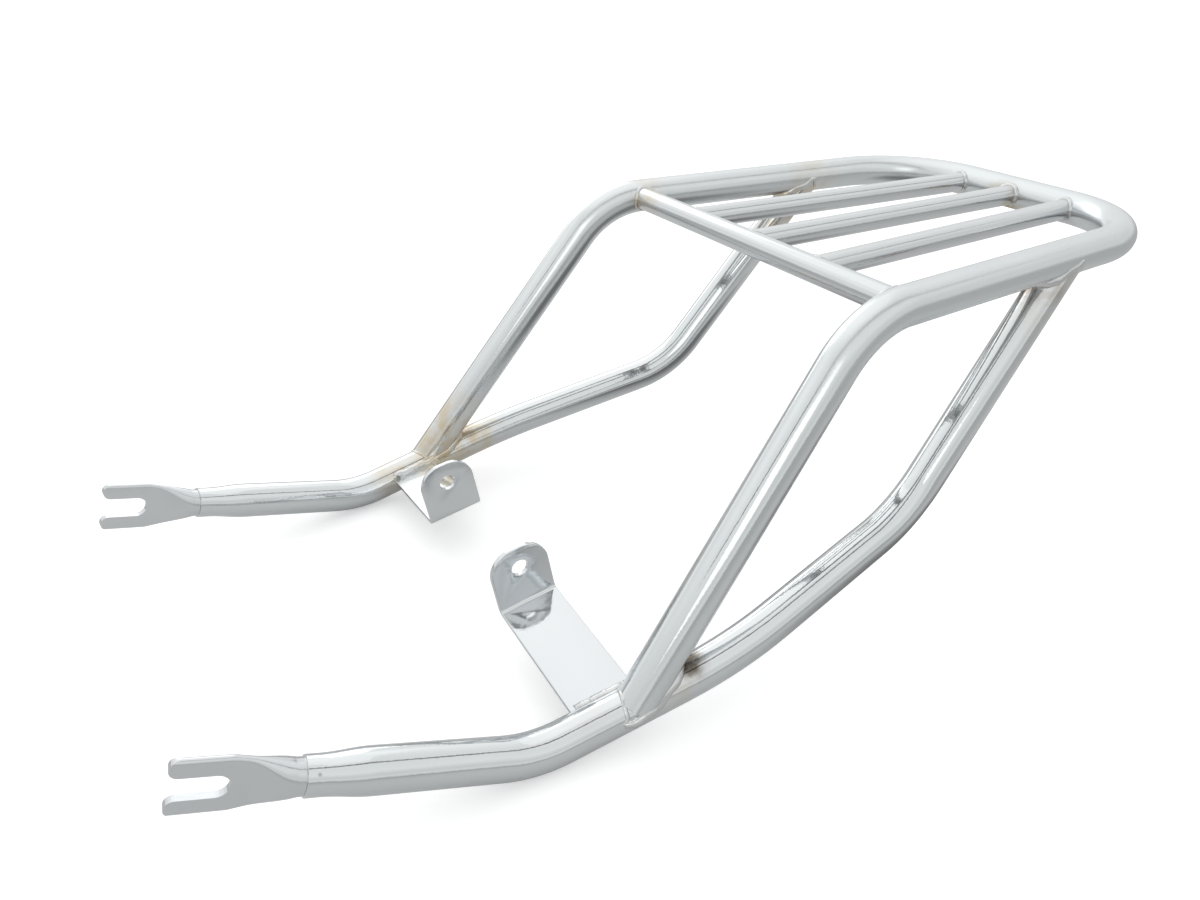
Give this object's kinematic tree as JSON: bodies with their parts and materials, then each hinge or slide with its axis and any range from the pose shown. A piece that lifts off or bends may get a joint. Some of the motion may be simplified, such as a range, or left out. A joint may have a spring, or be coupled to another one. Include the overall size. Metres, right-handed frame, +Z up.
{
  "type": "motorcycle luggage rack",
  "caption": "Chromed tubular luggage rack: a flat slatted deck on bent legs and splayed lower rails with slotted fork tips and bolt-on side brackets.",
  "frame": {"origin": "midpoint between the two bracket bolt holes, on their common axis", "axes": "+X to the rear of the motorcycle, +Y to its right, +Z up; the deck is level"},
  "size_m": [0.6386, 0.3124, 0.208],
  "materials": {
    "tube_chrome": "bright chrome plate on bent steel tube",
    "satin_chrome": "slightly satin chrome plate on thin steel tube",
    "pressed_chrome": "chrome plate on flattened tube, softened edges",
    "plate_chrome": "bright chrome plate on folded sheet steel",
    "weld_bead": "chrome plate over uneven weld beads, golden heat tint"
  },
  "bodies": {
    "root": {"main_hoop": "tube_chrome", "lower_rail_left": "tube_chrome", "lower_rail_right": "tube_chrome", "front_crossbar": "satin_chrome", "deck_slat_left": "satin_chrome", "deck_slat_middle": "satin_chrome", "deck_slat_right": "satin_chrome", "fork_tip_left": "pressed_chrome", "fork_tip_right": "pressed_chrome", "side_bracket_left": "plate_chrome", "side_bracket_right": "plate_chrome", "leg_weld_left": "weld_bead", "leg_weld_right": "weld_bead", "stay_weld_left": "weld_bead", "stay_weld_right": "weld_bead", "bracket_weld_left": "weld_bead", "bracket_weld_right": "weld_bead", "crossbar_weld_left": "weld_bead", "crossbar_weld_right": "weld_bead", "slat_front_weld_left": "weld_bead", "slat_front_weld_middle": "weld_bead", "slat_front_weld_right": "weld_bead", "slat_rear_weld_left": "weld_bead", "slat_rear_weld_middle": "weld_bead", "slat_rear_weld_right": "weld_bead"}
  },
  "joints": []
}
